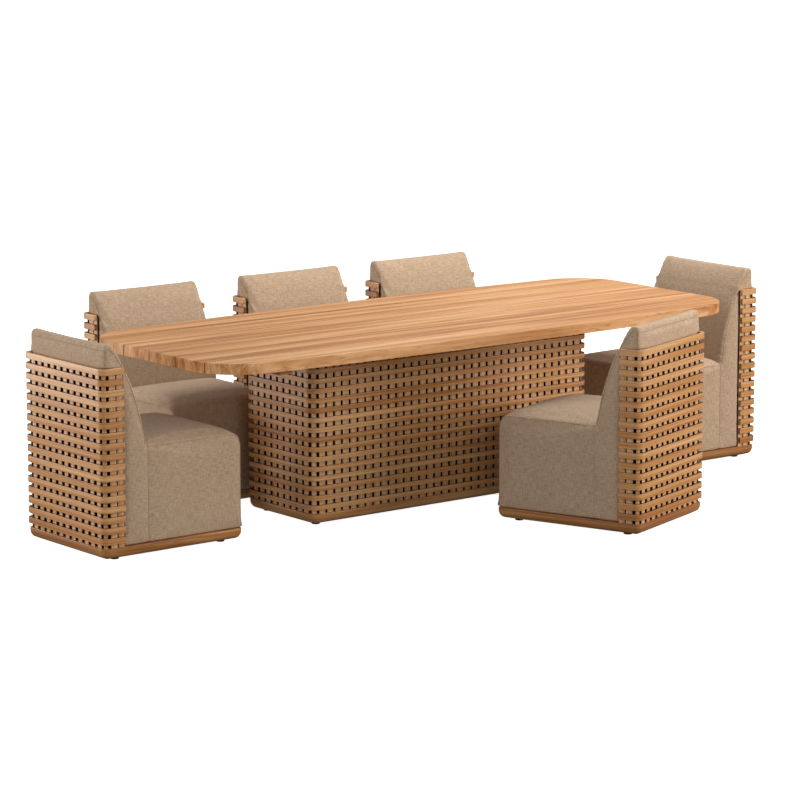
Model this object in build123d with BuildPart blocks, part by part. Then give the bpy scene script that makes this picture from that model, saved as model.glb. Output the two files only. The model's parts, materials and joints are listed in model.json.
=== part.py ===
from build123d import *
import os

# Patio dining set: a long slatted pedestal table and six upholstered tub chairs.
# Millimetres. The origin is on the ground under the middle of the table, +X along the table, +Z up.

# Table
table_height = 760
top_thickness = 44
top_length = 2716
top_width = 1086
side_bow = 48          # how far the long edges bulge in the middle
top_corner = 223
board_count = 6
board_width = top_width / board_count
board_gap = 1.0        # v-groove between two boards
edge_break = 1.5       # chamfer round the upper edge of each board
underside = table_height - top_thickness

# Pedestal under the table
base_length = 1471
base_depth = 473
base_corner = 50
base_pitch = 39.8      # from one slat to the next, up the pedestal and along it
base_end_pitch = 43.4
base_slats = 16
base_plinth_bottom = 12
base_plinth_top = 54
base_first_slat = 70   # underside of the lowest slat
base_slat_height = 20
base_post_width = 30

# Chair
chair_depth = 667
chair_width = 566
chair_corner = 32
chair_plinth_bottom = 10
chair_plinth_top = 53
lattice_top = 756
chair_slats = 17
chair_pitch = (lattice_top - chair_plinth_top) / chair_slats
chair_post_pitch = 45.5
lattice_front = -232   # where the slats stop on each side of the chair
seat_front = 325
seat_seam = -117.5     # vertical joint between the seat and the back
seat_height = 433
seat_crown = 455
back_rear = -307
back_top = 848

# Lattice stock
slat_height = 25       # of a chair
slat_thickness = 13
post_width = 26
post_thickness = 13
corner_post_width = 20
post_gap = 0.3         # glue line between a post and the slats
lattice_depth = slat_thickness + post_thickness + 2 * post_gap

# Plinths, feet and carcasses
plinth_inset = 4       # the slats stand this far out over the plinth
plinth_rail = 70
plinth_panel = 9       # closes the underside between the rails
plinth_round = 30
foot_radius = 17
stem_radius = 5
stem_length = 18
running_clearance = 0.1
panel = 18
soft_clearance = 0.5

# Places of the chairs: name, centre along and across the table, and the way the chair faces
chairs = {
    "left_end_chair": (-1410, 34, 0),
    "right_end_chair": (1385, 34, 180),
    "far_left_chair": (-737, 679, -90),
    "far_middle_chair": (30, 677, -90),
    "far_right_chair": (760, 680, -90),
    "near_chair": (325, -777, 110),
}

os.makedirs("parts", exist_ok=True)


def save(solid, node):
    solid.label = node
    export_step(solid, f"parts/{node}.step")


def table_outline():
    """Plan of the table top: two bowed sides, two straight ends and four round corners."""
    corner_y = top_width / 2 - side_bow
    half = top_length / 2
    with BuildSketch() as plan:
        with BuildLine():
            ThreePointArc((-half, -corner_y), (0, -top_width / 2), (half, -corner_y))
            Line((half, -corner_y), (half, corner_y))
            ThreePointArc((half, corner_y), (0, top_width / 2), (-half, corner_y))
            Line((-half, corner_y), (-half, -corner_y))
        make_face()
        fillet(plan.vertices(), top_corner)
    return plan.sketch


# Table top: six boards, each cut from the one outline, held by two battens underneath
batten_places = (-1020, 1020)
batten_width = 70
batten_length = 900
batten_thickness = 26
screw_rows = (-420, -270, -90, 90, 270, 420)
screw_radius = 3
screw_bite = 26
batten_screws_at = [(x, y) for x in batten_places for y in screw_rows]

rail_places = (-500, 0, 500)
rail_width = 60
rail_thickness = 30
bolt_rows = (-90, 90)
bolt_radius = 4
bolt_bite = 24
bolts_at = [(x, y) for x in rail_places for y in bolt_rows]

outline = table_outline()
for index in range(board_count):
    board_y = (index + 0.5) * board_width - top_width / 2
    with BuildPart() as board:
        with BuildSketch(Plane.XY.offset(underside)):
            add(outline)
            with Locations((0, board_y)):
                Rectangle(top_length + 2, board_width - board_gap, mode=Mode.INTERSECT)
        extrude(amount=top_thickness)
        chamfer(board.faces().sort_by(Axis.Z)[-1].edges(), edge_break)
        inside = [p for p in batten_screws_at if abs(p[1] - board_y) < board_width / 2]
        with BuildSketch(Plane.XY.offset(underside)):
            with Locations(*inside):
                Circle(screw_radius + running_clearance)
        extrude(amount=screw_bite + 2, mode=Mode.SUBTRACT)
        bolted = [p for p in bolts_at if abs(p[1] - board_y) < board_width / 2]
        if bolted:
            with BuildSketch(Plane.XY.offset(underside)):
                with Locations(*bolted):
                    Circle(bolt_radius + running_clearance)
            extrude(amount=bolt_bite + 2, mode=Mode.SUBTRACT)
    save(board.part, f"top_board_{index + 1}")

with BuildPart() as battens:
    with BuildSketch(Plane.XY.offset(underside - batten_thickness)):
        with Locations(*[(x, 0) for x in batten_places]):
            RectangleRounded(batten_width, batten_length, 10)
        with Locations(*batten_screws_at):
            Circle(screw_radius + running_clearance, mode=Mode.SUBTRACT)
    extrude(amount=batten_thickness)
save(battens.part, "top_battens")

with BuildPart() as batten_screw:
    with Locations((0, 0, underside - batten_thickness)):
        Cylinder(screw_radius * 2, 4, align=(Align.CENTER, Align.CENTER, Align.MAX))
        Cylinder(screw_radius, batten_thickness + screw_bite, align=(Align.CENTER, Align.CENTER, Align.MIN))
with BuildPart() as batten_screws:
    with Locations(*batten_screws_at):
        add(batten_screw.part)
save(batten_screws.part, "batten_screws")

# Pedestal carcass: a hollow box that carries the top and backs the slats
carcass_length = base_length - 2 * lattice_depth - 1
carcass_depth = base_depth - 2 * lattice_depth - 1
with BuildPart() as carcass:
    with BuildSketch(Plane.XY.offset(base_plinth_top)):
        RectangleRounded(carcass_length, carcass_depth, base_corner - lattice_depth + 6)
        Rectangle(carcass_length - 2 * panel, carcass_depth - 2 * panel, mode=Mode.SUBTRACT)
    extrude(amount=underside - base_plinth_top)
save(carcass.part, "pedestal_carcass")

with BuildPart() as mounting_rails:
    with BuildSketch(Plane.XY.offset(underside - rail_thickness)):
        with Locations(*[(x, 0) for x in rail_places]):
            Rectangle(rail_width, carcass_depth - 2 * panel)
        with Locations(*bolts_at):
            Circle(bolt_radius + running_clearance, mode=Mode.SUBTRACT)
    extrude(amount=rail_thickness)
save(mounting_rails.part, "mounting_rails")

with BuildPart() as mounting_bolt:
    with BuildSketch(Plane.XY.offset(underside - rail_thickness)):
        RegularPolygon(bolt_radius * 1.75, 6)
    extrude(amount=-5.5)
    with Locations((0, 0, underside - rail_thickness)):
        Cylinder(bolt_radius, rail_thickness + bolt_bite, align=(Align.CENTER, Align.CENTER, Align.MIN))
with BuildPart() as mounting_bolts:
    with Locations(*bolts_at):
        add(mounting_bolt.part)
save(mounting_bolts.part, "mounting_bolts")


def plinth(length, depth, corner, bottom, top, feet_at, cross_rail):
    """Rails with a soft lower edge round a thin bottom panel, and a hole for the stem of each foot."""
    with BuildPart() as ring:
        with BuildSketch(Plane.XY.offset(bottom)):
            RectangleRounded(length, depth, corner)
        extrude(amount=top - bottom)
        fillet(ring.faces().sort_by(Axis.Z)[0].edges(), plinth_round)
        fillet(ring.faces().sort_by(Axis.Z)[-1].edges(), 2)
        with BuildSketch(Plane.XY.offset(bottom + plinth_panel)):
            Rectangle(length - 2 * plinth_rail, depth - 2 * plinth_rail)
            if cross_rail:
                Rectangle(plinth_rail, depth, mode=Mode.SUBTRACT)
        extrude(amount=top - bottom, mode=Mode.SUBTRACT)
        with BuildSketch(Plane.XY.offset(bottom)):
            with Locations(*feet_at):
                Circle(stem_radius + running_clearance)
        extrude(amount=stem_length + 1, mode=Mode.SUBTRACT)
    return ring.part


def feet(height, places):
    """Round glides, each on a stem that fits the plinth."""
    with BuildPart() as glide:
        with BuildSketch(Plane.XY):
            Circle(foot_radius)
        extrude(amount=height)
        fillet(glide.edges().sort_by(Axis.Z)[0], 2)
        with BuildSketch(Plane.XY.offset(height)):
            Circle(stem_radius)
        extrude(amount=stem_length)
    with BuildPart() as glides:
        with Locations(*places):
            add(glide.part)
    return glides.part


base_feet_at = [(x, y) for x in (-668, 668) for y in (-165, 165)] + [(0, 0)]
base_plinth = plinth(base_length - 2 * plinth_inset, base_depth - 2 * plinth_inset,
                     base_corner - plinth_inset, base_plinth_bottom, base_plinth_top, base_feet_at, True)
save(base_plinth, "pedestal_plinth")
save(feet(base_plinth_bottom, base_feet_at), "pedestal_feet")


def slat_ring(length, depth, corner):
    """One closed slat, lying on the ground plane."""
    with BuildPart() as ring:
        with BuildSketch():
            RectangleRounded(length, depth, corner)
            RectangleRounded(length - 2 * slat_thickness, depth - 2 * slat_thickness, corner - slat_thickness,
                             mode=Mode.SUBTRACT)
        extrude(amount=base_slat_height)
    return ring.part


def slat_hoop():
    """One slat of a chair: across the back, round two corners and a short way along each side."""
    with BuildPart() as hoop:
        with BuildSketch():
            RectangleRounded(chair_depth, chair_width, chair_corner)
            RectangleRounded(chair_depth - 2 * slat_thickness, chair_width - 2 * slat_thickness,
                             chair_corner - slat_thickness, mode=Mode.SUBTRACT)
            with Locations((lattice_front + chair_depth / 2, 0)):
                Rectangle(chair_depth, chair_width + 2, mode=Mode.SUBTRACT)
        extrude(amount=slat_height)
    return hoop.part


def corner_post(corner):
    """Distance of a corner post from the middle of its corner's curve, along each of X and Y."""
    inner = corner - slat_thickness
    reach = (inner ** 2 - (corner_post_width / 2) ** 2) ** 0.5 - post_thickness / 2 - 0.5
    return reach / 2 ** 0.5


# Pedestal lattice
with BuildPart() as base_slat_stack:
    with Locations(*[(0, 0, base_first_slat + k * base_pitch) for k in range(base_slats)]):
        add(slat_ring(base_length, base_depth, base_corner))
save(base_slat_stack.part, "pedestal_slats")

long_posts = 17        # each side of the middle one
end_posts = 4
post_y = base_depth / 2 - slat_thickness - post_gap - post_thickness / 2
post_x = base_length / 2 - slat_thickness - post_gap - post_thickness / 2
turn_x = base_length / 2 - base_corner + corner_post(base_corner)
turn_y = base_depth / 2 - base_corner + corner_post(base_corner)
long_steps = [k * base_pitch for k in range(-long_posts, long_posts + 1)]
end_steps = [k * base_end_pitch for k in range(-end_posts, end_posts + 1)]
with BuildPart() as base_post_set:
    with BuildSketch(Plane.XY.offset(base_plinth_top)):
        with Locations(*[(x, y) for x in long_steps for y in (-post_y, post_y)]):
            Rectangle(base_post_width, post_thickness)
        with Locations(*[(x, y) for x in (-post_x, post_x) for y in end_steps]):
            Rectangle(post_thickness, base_post_width)
        for sign_x, sign_y in ((1, 1), (-1, 1), (-1, -1), (1, -1)):
            with Locations(Location((sign_x * turn_x, sign_y * turn_y, 0), (0, 0, -45 * sign_x * sign_y))):
                Rectangle(corner_post_width, post_thickness)
    extrude(amount=underside - base_plinth_top)
save(base_post_set.part, "pedestal_posts")

# Chair pieces, made once about the chair's own middle, facing +X
glide_places = [(x, y) for x in (-250, 250) for y in (-225, 225)]
chair_plinth = plinth(chair_depth - 2 * plinth_inset, chair_width - 2 * plinth_inset, chair_corner,
                      chair_plinth_bottom, chair_plinth_top, glide_places, False)
chair_glides = feet(chair_plinth_bottom, glide_places)

hoop_heights = [lattice_top - slat_height - k * chair_pitch for k in range(chair_slats)]
with BuildPart() as chair_hoops:
    with Locations(*[(0, 0, h) for h in hoop_heights]):
        add(slat_hoop())

rear_posts = 5         # each side of the middle one
post_rear = -chair_depth / 2 + slat_thickness + post_gap + post_thickness / 2
post_side = chair_width / 2 - slat_thickness - post_gap - post_thickness / 2
side_posts = ((lattice_front - 13.5, 27), (lattice_front - 46, 30))    # middle and width of each
turn_rear = chair_depth / 2 - chair_corner + corner_post(chair_corner)
turn_side = chair_width / 2 - chair_corner + corner_post(chair_corner)
with BuildPart() as chair_posts:
    with BuildSketch(Plane.XY.offset(chair_plinth_top)):
        with Locations(*[(post_rear, k * chair_post_pitch) for k in range(-rear_posts, rear_posts + 1)]):
            Rectangle(post_thickness, post_width)
        for middle, width in side_posts:
            with Locations(*[(middle, y) for y in (-post_side, post_side)]):
                Rectangle(width, post_thickness)
        for side in (-1, 1):
            with Locations(Location((-turn_rear, side * turn_side, 0), (0, 0, 45 * side))):
                Rectangle(corner_post_width - 4, post_thickness)
    extrude(amount=lattice_top - 6 - chair_plinth_top)

# Carcass inside the upholstery: an open deck with a seat box and a back panel standing on it
deck_rear = -292
deck_front = 300
deck_side = 225
seat_box_rear = -95
seat_box_top = 385
back_panel_top = 735
with BuildPart() as chair_frame:
    with BuildSketch(Plane.XY.offset(chair_plinth_top)):
        with Locations(((deck_rear + deck_front) / 2, 0)):
            Rectangle(deck_front - deck_rear, 2 * deck_side)
    extrude(amount=panel)
    with BuildSketch(Plane.XY.offset(chair_plinth_top)):
        with Locations(((seat_box_rear + deck_front) / 2, 0)):
            Rectangle(deck_front - seat_box_rear, 2 * deck_side)
    extrude(amount=seat_box_top - chair_plinth_top)
    with BuildSketch(Plane.XY.offset(chair_plinth_top - 1)):
        with Locations(((seat_box_rear + deck_front) / 2, 0)):
            Rectangle(deck_front - seat_box_rear - 2 * panel, 2 * (deck_side - panel))
    extrude(amount=seat_box_top - panel - chair_plinth_top + 1, mode=Mode.SUBTRACT)
    with BuildSketch(Plane.XY.offset(chair_plinth_top)):
        with Locations((deck_rear + panel / 2, 0)):
            Rectangle(panel, 2 * deck_side)
    extrude(amount=back_panel_top - chair_plinth_top)


def frame_room(x0, x1, side, top):
    """The space that a carcass member takes inside the padding, open at the bottom."""
    room = Box(x1 - x0, 2 * side, top - chair_plinth_top + 2, align=(Align.MIN, Align.CENTER, Align.MIN),
               mode=Mode.PRIVATE)
    return room.moved(Pos(x0, 0, chair_plinth_top - 2))


room_side = deck_side + soft_clearance
upholstery_bottom = chair_plinth_top + 0.5
seat_side = 272
with BuildPart() as seat:
    with BuildSketch(Plane.XZ):
        with BuildLine():
            Line((seat_seam, upholstery_bottom), (seat_front, upholstery_bottom))
            Line((seat_front, upholstery_bottom), (seat_front, seat_height - 60))
            ThreePointArc((seat_front, seat_height - 60), (seat_front - 12, seat_height - 20),
                          (seat_front - 50, seat_height + 4))
            ThreePointArc((seat_front - 50, seat_height + 4), (130, seat_crown), (seat_seam, seat_height + 10))
            Line((seat_seam, seat_height + 10), (seat_seam, upholstery_bottom))
        make_face()
    extrude(amount=seat_side, both=True)
    fillet(seat.edges().filter_by(Axis.Z).group_by(Axis.X)[-1], 24)
    add(frame_room(seat_box_rear - soft_clearance, deck_front + soft_clearance, room_side,
                   seat_box_top + soft_clearance), mode=Mode.SUBTRACT)
    add(frame_room(seat_seam - 5, deck_front, room_side, chair_plinth_top + panel + soft_clearance),
        mode=Mode.SUBTRACT)

back_side = 254        # narrow stretch of the back, between the two ends of the lattice
roll_side = 262        # the padded roll that shows over the lattice
roll_rear = back_rear - 9
roll_bottom = lattice_top + 1.5
with BuildPart() as back:
    with BuildSketch(Plane.XZ):
        with BuildLine():
            Line((back_rear, upholstery_bottom), (seat_seam - 0.5, upholstery_bottom))
            Line((seat_seam - 0.5, upholstery_bottom), (seat_seam - 0.5, seat_height))
            ThreePointArc((seat_seam - 0.5, seat_height), (-151, 585), (-211, 743))
            ThreePointArc((-211, 743), (-243, 803), (-285, back_top))
            ThreePointArc((-285, back_top), (-306, 844), (roll_rear, 828))
            Line((roll_rear, 828), (roll_rear, roll_bottom))
            Line((roll_rear, roll_bottom), (back_rear, roll_bottom))
            Line((back_rear, roll_bottom), (back_rear, upholstery_bottom))
        make_face()
    extrude(amount=seat_side, both=True)
    for side in (-1, 1):
        with Locations((lattice_front + 4, side * (back_side + seat_side), roll_bottom)):
            Box(200, 2 * seat_side, 1000, align=(Align.MAX, Align.CENTER, Align.MAX), mode=Mode.SUBTRACT)
    for side in (-1, 1):
        with Locations((-500, side * (roll_side + seat_side), roll_bottom)):
            Box(1000, 2 * seat_side, 500, align=(Align.MIN, Align.CENTER, Align.MIN), mode=Mode.SUBTRACT)
    for side in (-1, 1):
        with Locations(Location((back_rear, side * back_side, roll_bottom), (0, 0, 45))):
            Box(10, 10, 1000, align=(Align.CENTER, Align.CENTER, Align.MAX), mode=Mode.SUBTRACT)
    add(frame_room(deck_rear - soft_clearance, deck_rear + panel + soft_clearance, room_side,
                   back_panel_top + soft_clearance), mode=Mode.SUBTRACT)
    add(frame_room(deck_rear, seat_seam + 5, room_side, chair_plinth_top + panel + soft_clearance),
        mode=Mode.SUBTRACT)

chair_pieces = {
    "plinth": chair_plinth,
    "glides": chair_glides,
    "slats": chair_hoops.part,
    "posts": chair_posts.part,
    "frame": chair_frame.part,
    "seat_upholstery": seat.part,
    "back_upholstery": back.part,
}
for chair, (x, y, facing) in chairs.items():
    place = Location((x, y, 0), (0, 0, facing))
    for piece, solid in chair_pieces.items():
        save(solid.moved(place), f"{chair}_{piece}")
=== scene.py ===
# Patio dining set: a slatted teak table and six upholstered chairs.
import json
import math
import bmesh
import bpy
import numpy as np
from mathutils import Matrix, Vector
from mathutils.bvhtree import BVHTree


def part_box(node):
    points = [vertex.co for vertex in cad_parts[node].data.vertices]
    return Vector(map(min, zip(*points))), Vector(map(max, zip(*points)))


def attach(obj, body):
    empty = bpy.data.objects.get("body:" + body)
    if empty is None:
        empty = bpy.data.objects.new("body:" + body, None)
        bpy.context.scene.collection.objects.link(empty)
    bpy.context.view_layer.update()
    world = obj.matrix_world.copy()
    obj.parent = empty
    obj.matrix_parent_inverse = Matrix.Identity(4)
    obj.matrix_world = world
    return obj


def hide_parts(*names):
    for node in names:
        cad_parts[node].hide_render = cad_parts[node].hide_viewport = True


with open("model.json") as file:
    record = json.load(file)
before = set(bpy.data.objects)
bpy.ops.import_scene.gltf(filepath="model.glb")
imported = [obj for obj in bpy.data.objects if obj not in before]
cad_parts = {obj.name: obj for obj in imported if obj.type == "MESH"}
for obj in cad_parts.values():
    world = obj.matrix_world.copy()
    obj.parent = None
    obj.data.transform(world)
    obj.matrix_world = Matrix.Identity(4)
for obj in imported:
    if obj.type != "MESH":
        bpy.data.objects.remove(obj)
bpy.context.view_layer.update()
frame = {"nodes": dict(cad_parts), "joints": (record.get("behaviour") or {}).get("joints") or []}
scene = bpy.context.scene
chairNames = [joint["child"] for joint in frame["joints"]]
print("frame loaded:", len(frame["nodes"]), "nodes")

cameraSet = {"place": (-8.8443, -11.1327, 2.9961), "yaw": 51.865, "pitch": 10.307, "lens": 155.3, "sensor": 36.0}
lightSet = {
    "key": {"place": (4.2, -5.4, 2.5), "aim": (0.5, -0.2, 0.4), "size": 3.0, "watts": 315, "colour": "FFF4E8"},
    "side": {"place": (-6.5, -0.5, 2.6), "aim": (-0.8, 0.0, 0.4), "size": 2.6, "watts": 85, "colour": "FFF8F2"},
    "front": {"place": (-3.2, -6.5, 1.1), "aim": (0.0, 0.0, 0.4), "size": 2.4, "watts": 35, "colour": "FFF4E8"},
    "low": {"place": (-5.2, 4.9, 0.8), "aim": (-1.8, 0.0, 0.4), "size": 2.2, "watts": 150, "colour": "FFF4EC"},
    "top": {"place": (2.2, 0.4, 4.4), "aim": (0.9, -0.2, 0.6), "size": 3.4, "watts": 140, "colour": "FFFAF4"},
}
skySet = {"above": 0.38, "below": 0.10, "seen": "FFFFFF"}
floorSet = {"half": 60.0, "glow": 0.95}


def linearColour(code):
    parts = [int(code[i:i + 2], 16) / 255 for i in (0, 2, 4)]
    return tuple([p / 12.92 if p <= 0.04045 else ((p + 0.055) / 1.055) ** 2.4 for p in parts] + [1.0])


def addNode(tree, kind, settings=None, links=None):
    node = tree.nodes.new(kind)
    for name, value in (settings or {}).items():
        setattr(node, name, value)
    for name, value in (links or {}).items():
        socket = node.inputs[name]
        if isinstance(value, bpy.types.NodeSocket):
            tree.links.new(value, socket)
        else:
            socket.default_value = value
    return node


def newMaterial(name):
    material = bpy.data.materials.new(name)
    material.use_nodes = True
    tree = material.node_tree
    tree.nodes.clear()
    return material, tree


def colourRamp(tree, source, stops):
    ramp = addNode(tree, "ShaderNodeValToRGB", None, {"Fac": source})
    ramp.color_ramp.elements.remove(ramp.color_ramp.elements[1])
    for index, (place, code) in enumerate(stops):
        stop = ramp.color_ramp.elements[0] if index == 0 else ramp.color_ramp.elements.new(place)
        stop.position = place
        stop.color = linearColour(code)
    return ramp.outputs["Color"]


def finishMaterial(tree, shader, bumpSource, bumpDepth, bumpStrength):
    bump = addNode(tree, "ShaderNodeBump", None,
                   {"Height": bumpSource, "Distance": bumpDepth, "Strength": bumpStrength})
    tree.links.new(bump.outputs["Normal"], shader.inputs["Normal"])
    addNode(tree, "ShaderNodeOutputMaterial", None, {"Surface": shader.outputs["BSDF"]})


def teakMaterial(name, stops, roughness, coat, coatRoughness=0.3, grainFromAttribute=True, tone=0.035):
    material, tree = newMaterial(name)      # streaky grain, short dark pores, board to board colour change
    if grainFromAttribute:
        source = addNode(tree, "ShaderNodeAttribute", {"attribute_name": "grain"}).outputs["Vector"]
        shade = addNode(tree, "ShaderNodeAttribute", {"attribute_name": "shade"}).outputs["Fac"]
    else:
        source = addNode(tree, "ShaderNodeTexCoord").outputs["Object"]
        shade = None
    streakScale = (1.1, 95.0, 95.0)     # per metre: streaks 10 mm wide, coarser than real grain so that they show
    bandScale = (0.55, 17.0, 17.0)      # growth bands 60 mm wide
    poreScale = (14.0, 240.0, 240.0)    # pores 70 mm long and 4 mm wide, drawn coarse so that they show
    streakPlace = addNode(tree, "ShaderNodeMapping", None, {"Vector": source, "Scale": streakScale})
    streaks = addNode(tree, "ShaderNodeTexNoise", None,
                      {"Vector": streakPlace.outputs[0], "Scale": 1.0, "Detail": 5.0, "Roughness": 0.62,
                       "Distortion": 0.35})
    bandPlace = addNode(tree, "ShaderNodeMapping", None, {"Vector": source, "Scale": bandScale})
    bands = addNode(tree, "ShaderNodeTexNoise", None,
                    {"Vector": bandPlace.outputs[0], "Scale": 1.0, "Detail": 3.0, "Roughness": 0.5,
                     "Distortion": 0.8})
    porePlace = addNode(tree, "ShaderNodeMapping", None, {"Vector": source, "Scale": poreScale})
    pores = addNode(tree, "ShaderNodeTexNoise", None,
                    {"Vector": porePlace.outputs[0], "Scale": 1.0, "Detail": 2.0, "Roughness": 0.5})
    mixed = addNode(tree, "ShaderNodeMath", {"operation": "MULTIPLY"}, {0: streaks.outputs["Fac"], 1: 0.55})
    total = addNode(tree, "ShaderNodeMath", {"operation": "MULTIPLY_ADD"},
                    {0: bands.outputs["Fac"], 1: 0.45, 2: mixed.outputs[0]})
    last = total.outputs[0]
    if shade is not None:
        shifted = addNode(tree, "ShaderNodeMath", {"operation": "MULTIPLY_ADD"}, {0: shade, 1: tone, 2: last})
        last = shifted.outputs[0]
    base = colourRamp(tree, last, stops)
    poreMask = addNode(tree, "ShaderNodeMapRange", None,
                       {"Value": pores.outputs["Fac"], "From Min": 0.60, "From Max": 0.74, "To Min": 0.0,
                        "To Max": 0.35})
    coloured = addNode(tree, "ShaderNodeMix", {"data_type": "RGBA", "blend_type": "MULTIPLY"},
                       {"Factor": poreMask.outputs[0]})
    tree.links.new(base, coloured.inputs[6])
    coloured.inputs[7].default_value = linearColour("8A5A34")
    last = coloured.outputs[2]
    if grainFromAttribute:      # painted shade: the faces that look into a joint are darkened where shadow falls
        painted_joint_shade = addNode(tree, "ShaderNodeAttribute", {"attribute_name": "painted_joint_shade"})
        jointShaded = addNode(tree, "ShaderNodeMix", {"data_type": "RGBA", "blend_type": "MULTIPLY"},
                         {"Factor": painted_joint_shade.outputs["Fac"]})
        tree.links.new(last, jointShaded.inputs[6])
        # the near-black colour of the painted joint shade
        jointShaded.inputs[7].default_value = linearColour("3E2412")
        last = jointShaded.outputs[2]
    rough = addNode(tree, "ShaderNodeMapRange", None,
                    {"Value": streaks.outputs["Fac"], "From Min": 0.3, "From Max": 0.7,
                     "To Min": roughness - 0.06, "To Max": roughness + 0.08})
    shader = addNode(tree, "ShaderNodeBsdfPrincipled", None,
                     {"Base Color": last, "Roughness": rough.outputs[0], "IOR": 1.5,
                      "Coat Weight": coat, "Coat Roughness": coatRoughness})
    finishMaterial(tree, shader, streaks.outputs["Fac"], 0.0006, 0.25)
    return material


def linenMaterial(name, stops, sheen):   # slubby crossed threads, matt, with a faint nap at grazing angles
    material, tree = newMaterial(name)
    weave = addNode(tree, "ShaderNodeUVMap", {"uv_map": "weave"}).outputs["UV"]
    solid = addNode(tree, "ShaderNodeTexCoord").outputs["Object"]
    threads = []
    for scale in ((34.0, 330.0, 1.0), (330.0, 34.0, 1.0)):   # slubs 30 mm long, drawn 3 mm wide so that they show
        place = addNode(tree, "ShaderNodeMapping", None, {"Vector": weave, "Scale": scale})
        threads.append(addNode(tree, "ShaderNodeTexNoise", {"noise_dimensions": "2D"},
                               {"Vector": place.outputs[0], "Scale": 1.0, "Detail": 3.0, "Roughness": 0.6}))
    sumThreads = addNode(tree, "ShaderNodeMath", {"operation": "ADD"},
                         {0: threads[0].outputs["Fac"], 1: threads[1].outputs["Fac"]})
    cloud = addNode(tree, "ShaderNodeTexNoise", None,
                    {"Vector": solid, "Scale": 7.0, "Detail": 3.0, "Roughness": 0.55})
    speckle = addNode(tree, "ShaderNodeTexNoise", {"noise_dimensions": "2D"},
                      {"Vector": weave, "Scale": 300.0, "Detail": 1.0})
    level = addNode(tree, "ShaderNodeMath", {"operation": "MULTIPLY_ADD"},
                    {0: sumThreads.outputs[0], 1: 0.38, 2: 0.04})
    level = addNode(tree, "ShaderNodeMath", {"operation": "MULTIPLY_ADD"},
                    {0: cloud.outputs["Fac"], 1: 0.07, 2: level.outputs[0]})
    level = addNode(tree, "ShaderNodeMath", {"operation": "MULTIPLY_ADD"},
                    {0: speckle.outputs["Fac"], 1: 0.06, 2: level.outputs[0]})
    base = colourRamp(tree, level.outputs[0], stops)
    shader = addNode(tree, "ShaderNodeBsdfPrincipled", None,
                     {"Base Color": base, "Roughness": 0.92, "Specular IOR Level": 0.2,
                      "Sheen Weight": sheen, "Sheen Roughness": 0.5})
    finishMaterial(tree, shader, sumThreads.outputs[0], 0.0012, 0.45)
    return material


def plainMaterial(name, dark, light, scale, roughness, metallic=0.0, depth=0.0003):
    material, tree = newMaterial(name)      # for small or hidden parts: a mottle between two close colours
    solid = addNode(tree, "ShaderNodeTexCoord").outputs["Object"]
    mottle = addNode(tree, "ShaderNodeTexNoise", None,
                     {"Vector": solid, "Scale": scale, "Detail": 3.0, "Roughness": 0.6})
    base = colourRamp(tree, mottle.outputs["Fac"], [(0.3, dark), (0.7, light)])
    shader = addNode(tree, "ShaderNodeBsdfPrincipled", None,
                     {"Base Color": base, "Roughness": roughness, "Metallic": metallic})
    finishMaterial(tree, shader, mottle.outputs["Fac"], depth, 0.3)
    return material


teakStops = {
    "top": [(0.38, "A5662F"), (0.46, "C4874C"), (0.53, "D9A16A"), (0.64, "EEC292")],
    "slat": [(0.36, "A0652F"), (0.46, "C08549"), (0.54, "D39D64"), (0.66, "E6BC8A")],
    "post": [(0.34, "B47E4E"), (0.45, "CF9E6C"), (0.56, "E0B488"), (0.70, "F0CDA8")],
    "plinth": [(0.36, "8E5A2B"), (0.46, "AE763F"), (0.54, "C28E56"), (0.66, "D8AC78")],
}
teakTop = teakMaterial("oiled_teak_boards", teakStops["top"], 0.50, 0.0)       # honey boards, streaky and satin
teakSlat = teakMaterial("oiled_teak_slats", teakStops["slat"], 0.38, 0.40, 0.22)      # warm slats with a soft sheen
teakPost = teakMaterial("oiled_teak_posts", teakStops["post"], 0.40, 0.25, 0.25)      # paler wood standing behind
teakPlinth = teakMaterial("oiled_teak_plinth", teakStops["plinth"], 0.40, 0.2, 0.25)  # deeper brown at the foot
grooveShadowTeak = plainMaterial("shadowed_teak_groove", "714522", "8C5A31", 80.0, 0.8)     # painted shadow: dark line between boards
teakHidden = teakMaterial("sawn_teak", teakStops["plinth"], 0.6, 0.0, grainFromAttribute=False)   # dull underneath
linenStops = [(0.30, "917B64"), (0.42, "B19980"), (0.50, "BDA58D"), (0.62, "CDB9A2")]
linenCloth = linenMaterial("linen_weave_upholstery", linenStops, 0.12)    # matt sandy cloth whose threads just show
seamShadeStops = [(0.30, "7E6B55"), (0.50, "A08B72"), (0.62, "B5A188")]
seamShadeCloth = linenMaterial("linen_seam_painted_shade", seamShadeStops, 0.1)     # painted shade: a darker line along each seam, standing in for the shadow in its crease
shadeBacking = plainMaterial("painted_shade_backing_cloth", "160B05", "24130A", 700.0, 0.95)   # painted shade: the cloth seen between the slats is near black
shadePly = plainMaterial("painted_shade_plywood", "170B04", "241208", 60.0, 0.7)      # painted shade: near black behind the lattice
plainPly = plainMaterial("birch_plywood", "B8935F", "D2B283", 60.0, 0.7)          # pale and dull inside the chairs
blackPlastic = plainMaterial("moulded_black_plastic", "0A0A0A", "141414", 900.0, 0.7)     # dull black feet
zincSteel = plainMaterial("zinc_plated_steel", "8F9194", "B4B6B8", 300.0, 0.35, metallic=1.0)    # grey screw heads
print("materials made")


def roundedLoop(halfX, halfY, radius, steps):   # closed plan loop, anticlockwise from the right end of the front side
    points = []
    for cornerX, cornerY, start in ((1, -1, -90), (1, 1, 0), (-1, 1, 90), (-1, -1, 180)):
        for step in range(steps + 1):
            angle = math.radians(start + 90 * step / steps)
            points.append((cornerX * (halfX - radius) + radius * math.cos(angle),
                           cornerY * (halfY - radius) + radius * math.sin(angle)))
    return points


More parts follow.
